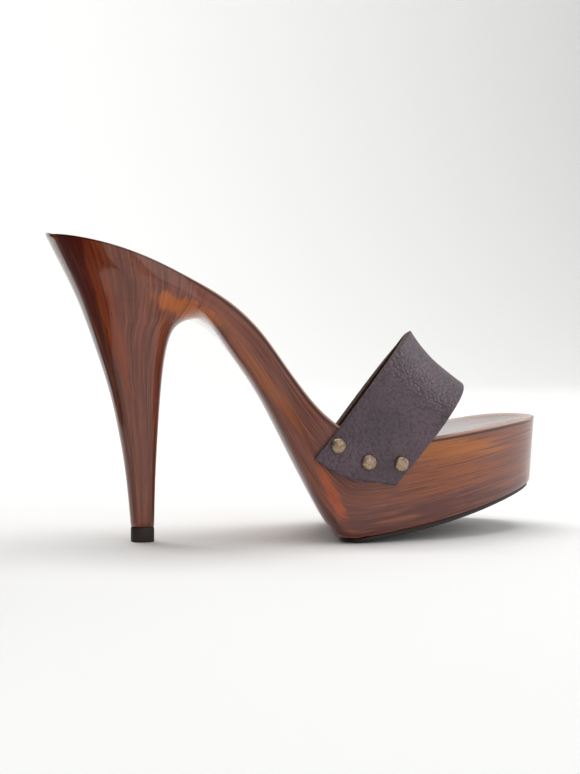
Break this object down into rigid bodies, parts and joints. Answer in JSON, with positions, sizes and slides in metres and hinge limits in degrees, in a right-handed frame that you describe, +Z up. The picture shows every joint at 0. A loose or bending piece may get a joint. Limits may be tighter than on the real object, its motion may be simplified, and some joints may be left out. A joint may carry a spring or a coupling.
{
  "type": "high-heeled platform clog",
  "caption": "Open wooden platform mule with a tall stiletto heel, carved in one piece, and a wide leather strap nailed to its sides.",
  "frame": {"origin": "on the floor, under the middle of the shoe's bounding box", "axes": "+X from the heel to the toe, +Y to the shoe's inner (medial) side, +Z up"},
  "size_m": [0.2158, 0.0908, 0.124],
  "materials": {
    "lacquered_wood": "dark red-brown stain under gloss lacquer",
    "strap_leather": "pebbled, semi-matte",
    "outsole_rubber": "matte",
    "nail_brass": "antiqued"
  },
  "bodies": {
    "root": {"wood_body": "lacquered_wood", "outsole": "outsole_rubber", "heel_lift": "outsole_rubber", "strap": "strap_leather", "nail_lateral_back": "nail_brass", "nail_lateral_middle": "nail_brass", "nail_lateral_front": "nail_brass", "nail_medial_back": "nail_brass", "nail_medial_middle": "nail_brass", "nail_medial_front": "nail_brass"}
  },
  "joints": []
}
